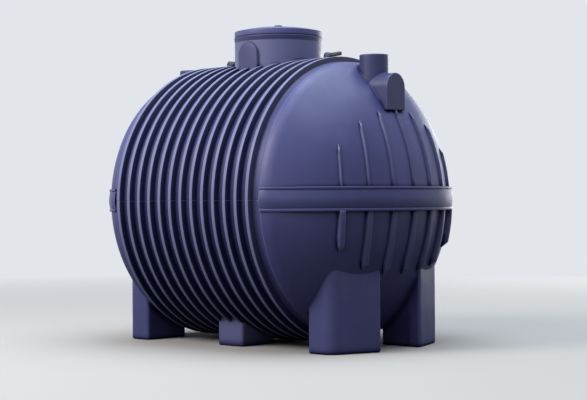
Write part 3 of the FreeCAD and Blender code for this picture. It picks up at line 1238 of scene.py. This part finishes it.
class TANK_OT_stage(bpy.types.Operator):
    """Pale floor, soft light and the camera at the photo's angle"""

    bl_idname = "tank.stage"
    bl_label = "Stage"

    def execute(self, context):
        scene = context.scene
        self.floor(scene.tank_finish)
        scene.world = self.studio(scene.tank_finish)
        self.light("key", (-3.2, -7.6, 6.2), (4.0, 5.0), 600, DAYLIGHT)
        self.light("sky", (0.8, 0.4, 10.0), (10.0, 10.0), 1200, SKYLIGHT)
        self.light("strip", (2.4, -8.0, 5.5), (0.5, 3.0), 90, DAYLIGHT)
        self.light("rim", (-2.0, 8.5, 2.0), (4.0, 3.0), 150, WHITE)
        bpy.ops.object.camera_add(location=CAMERA_PLACE)
        camera = bpy.context.object
        camera.name = "photo_camera"
        camera.rotation_euler = (math.pi / 2, CAMERA_ROLL, CAMERA_HEADING)
        camera.data.lens = CAMERA_LENS
        camera.data.sensor_width = CAMERA_SENSOR
        camera.data.dof.use_dof = False
        scene.camera = camera
        scene.view_settings.view_transform = "Standard"
        return {"FINISHED"}

    def floor(self, finish):
        """Round pale floor that fades into the background, and that throws little light back up."""
        bpy.ops.object.select_all(action="DESELECT")
        bpy.ops.mesh.primitive_circle_add(vertices=ROUND_STEPS, radius=FLOOR_REACH, fill_type="NGON")
        floor = take("floor")
        material = bpy.data.materials.new("floor_look")
        tree, shader = plain_nodes(material)
        rays = tree.nodes.new("ShaderNodeLightPath")
        dim = [channel * FLOOR_BOUNCE for channel in finish.floor]
        colour = mixed(tree, rays.outputs["Is Camera Ray"], dim, finish.floor)
        tree.links.new(colour, shader.inputs["Base Color"])
        shader.inputs["Roughness"].default_value = 0.9
        shader.inputs["Specular IOR Level"].default_value = 0.0
        clear = tree.nodes.new("ShaderNodeBsdfTransparent")
        blend = tree.nodes.new("ShaderNodeMixShader")
        distance = reckoned(tree, "ShaderNodeVectorMath", "LENGTH", coordinates(tree, "Object"))
        fade = span(tree, distance, FLOOR_FADE, FLOOR_REACH, 0, 1)
        tree.links.new(fade, blend.inputs[0])
        tree.links.new(shader.outputs["BSDF"], blend.inputs[1])
        tree.links.new(clear.outputs["BSDF"], blend.inputs[2])
        tree.links.new(blend.outputs["Shader"], tree.nodes["Material Output"].inputs["Surface"])
        floor.data.materials.append(material)
        return floor

    def studio(self, finish):
        """Pale background for the camera and in reflections, and dim as a light."""
        world = bpy.data.worlds.new("studio")
        world.use_nodes = True
        tree = world.node_tree
        background = tree.nodes["Background"]
        rays = tree.nodes.new("ShaderNodeLightPath")
        colour = AMBIENT
        for kind in ("Is Camera Ray", "Is Glossy Ray", "Is Transmission Ray"):
            colour = mixed(tree, rays.outputs[kind], colour, finish.background)
        tree.links.new(colour, background.inputs["Color"])
        return world

    def light(self, name, place, size, power, colour):
        """Soft light aimed at the tank."""
        bpy.ops.object.light_add(type="AREA", location=place)
        lamp = bpy.context.object
        lamp.name = name
        lamp.data.shape = "RECTANGLE"
        lamp.data.size, lamp.data.size_y = size
        lamp.data.energy = power
        lamp.data.color = colour
        lamp.rotation_euler = (LIGHT_AIM - Vector(place)).to_track_quat("-Z", "Y").to_euler()


class TANK_PT_panel(bpy.types.Panel):
    """Buttons that build the tank, with its sizes and colours"""

    bl_label = "Plastic tank"
    bl_idname = "TANK_PT_panel"
    bl_space_type = "VIEW_3D"
    bl_region_type = "UI"
    bl_category = "Tank"

    def draw(self, context):
        for group in (context.scene.tank_shape, context.scene.tank_ribs, context.scene.tank_finish):
            for name in group.__annotations__:
                self.layout.prop(group, name)
        for operator in OPERATORS:
            self.layout.operator(operator.bl_idname)


OPERATORS = (
    TANK_OT_barrel,
    TANK_OT_domes,
    TANK_OT_bands,
    TANK_OT_ribs,
    TANK_OT_fittings,
    TANK_OT_feet,
    TANK_OT_neck,
    TANK_OT_lid,
    TANK_OT_lugs,
    TANK_OT_stage,
)
GROUPS = {"tank_shape": TankShape, "tank_ribs": TankRibs, "tank_finish": TankFinish}


def register():
    for group in GROUPS.values():
        bpy.utils.register_class(group)
    for name, group in GROUPS.items():
        setattr(bpy.types.Scene, name, bpy.props.PointerProperty(type=group))
    for operator in OPERATORS:
        bpy.utils.register_class(operator)
    bpy.utils.register_class(TANK_PT_panel)


def unregister():
    bpy.utils.unregister_class(TANK_PT_panel)
    for operator in reversed(OPERATORS):
        bpy.utils.unregister_class(operator)
    for name in GROUPS:
        delattr(bpy.types.Scene, name)
    for group in reversed(list(GROUPS.values())):
        bpy.utils.unregister_class(group)


def main():
    register()
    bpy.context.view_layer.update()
    bpy.ops.tank.barrel()
    bpy.ops.tank.domes()
    bpy.ops.tank.bands()
    bpy.ops.tank.ribs()
    bpy.ops.tank.fittings()
    bpy.ops.tank.feet()
    bpy.ops.tank.neck()
    bpy.ops.tank.lid()
    bpy.ops.tank.lugs()
    bpy.ops.tank.stage()


if __name__ == "__main__":
    main()
